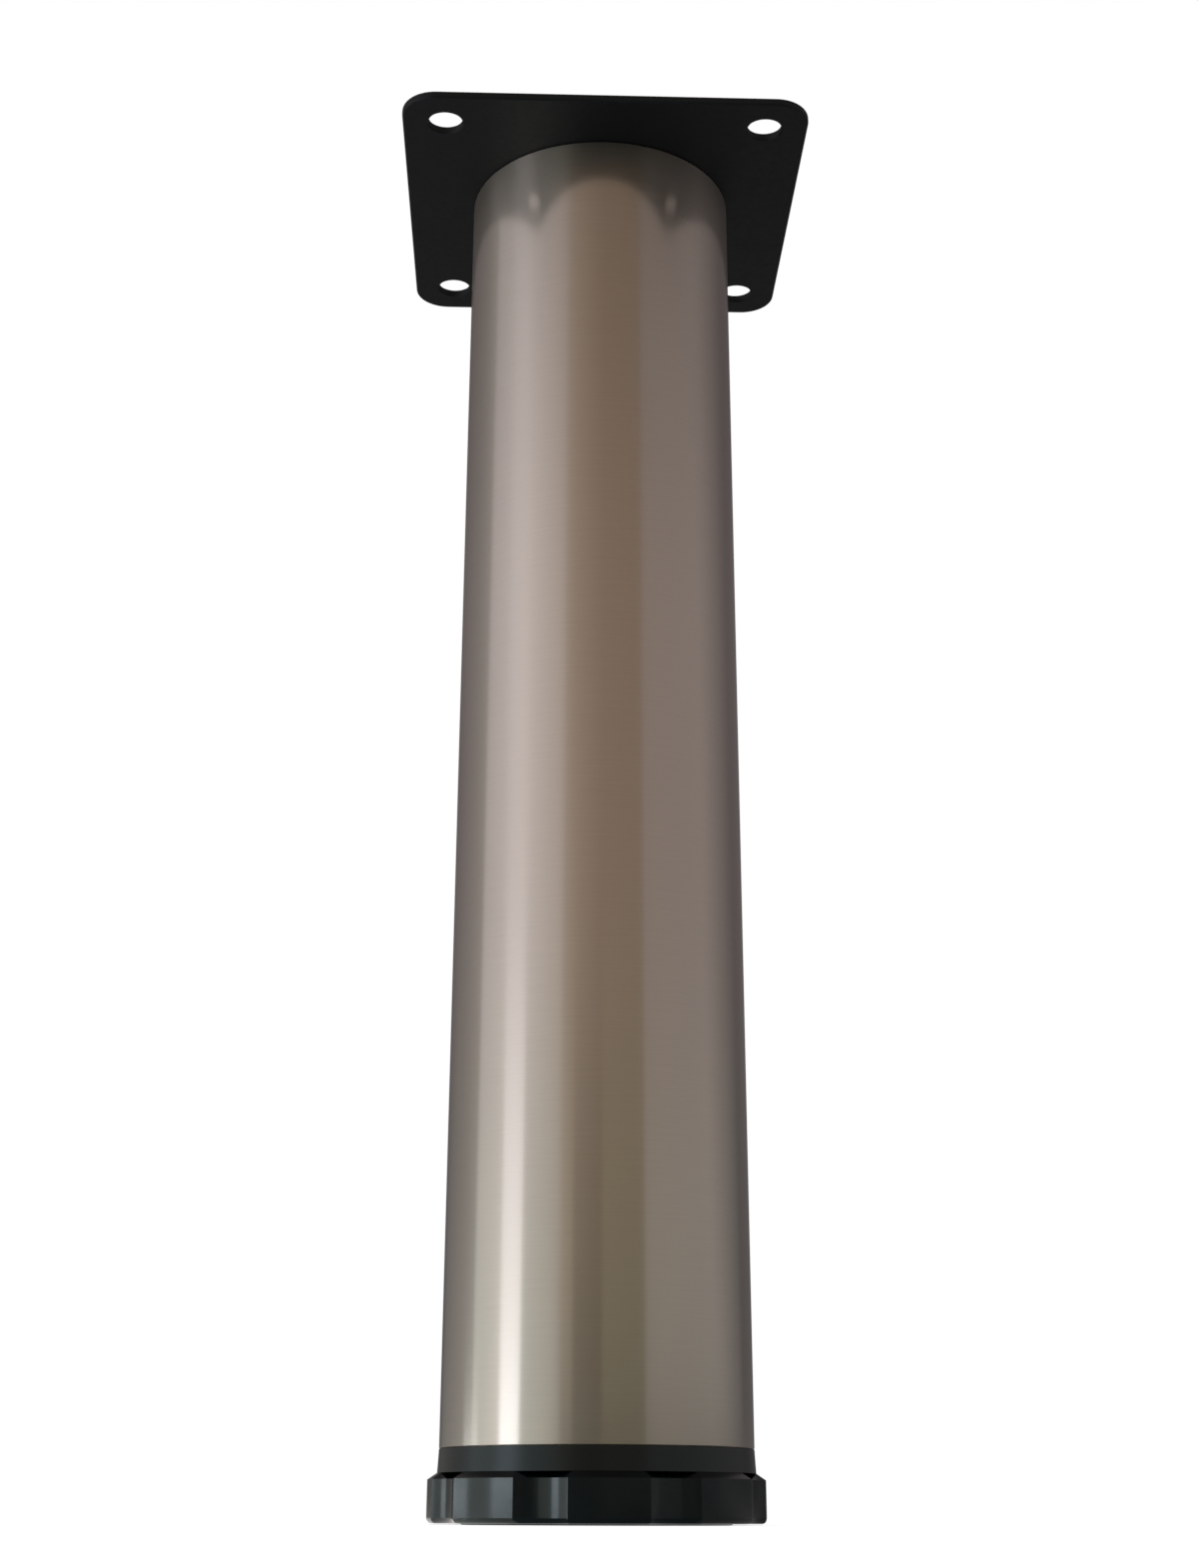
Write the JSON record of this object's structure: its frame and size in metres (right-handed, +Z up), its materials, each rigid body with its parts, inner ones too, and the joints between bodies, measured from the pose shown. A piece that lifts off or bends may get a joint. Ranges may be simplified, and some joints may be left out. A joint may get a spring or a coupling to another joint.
{
  "type": "adjustable furniture leg",
  "caption": "Round brushed steel furniture leg with a square screw-on mounting plate and a black lobed foot that screws in and out to level the furniture.",
  "frame": {"origin": "on the floor, on the tube's axis", "axes": "+Z up along the tube towards the mounting plate, X and Y along the plate's sides"},
  "size_m": [0.0754, 0.0754, 0.242],
  "materials": {
    "plate_coat": "satin black powder coat",
    "tube_steel": "hairline brushed around the tube",
    "collar_plastic": "fine moulded texture",
    "knob_plastic": "satin moulded",
    "plug_plastic": "plain moulded",
    "glide_plastic": "fine moulded texture",
    "zinc_plate": "zinc plated"
  },
  "bodies": {
    "leg": {"mounting_plate": "plate_coat", "plate_bolt": "zinc_plate", "plate_bolt_nut": "zinc_plate", "top_plug": "plug_plastic", "leg_tube": "tube_steel", "foot_insert": "collar_plastic", "adjuster_nut": "zinc_plate"},
    "glide": {"glide_cap": "glide_plastic"},
    "foot": {"foot_knob": "knob_plastic", "adjuster_screw": "zinc_plate"}
  },
  "joints": [
    {"name": "foot_height", "type": "slide", "parent": "leg", "child": "glide", "axis": [0, 0, -1], "range_m": [0, 0.015]},
    {"name": "foot_turn", "type": "hinge", "parent": "glide", "child": "foot", "pos_m": [0, 0, 0.005], "axis": [0, 0, -1], "range_deg": [0, 3600]}
  ],
  "couplings": [
    {"joint": "foot_height", "follows": "foot_turn", "m_per_rad": 0.00023873}
  ]
}
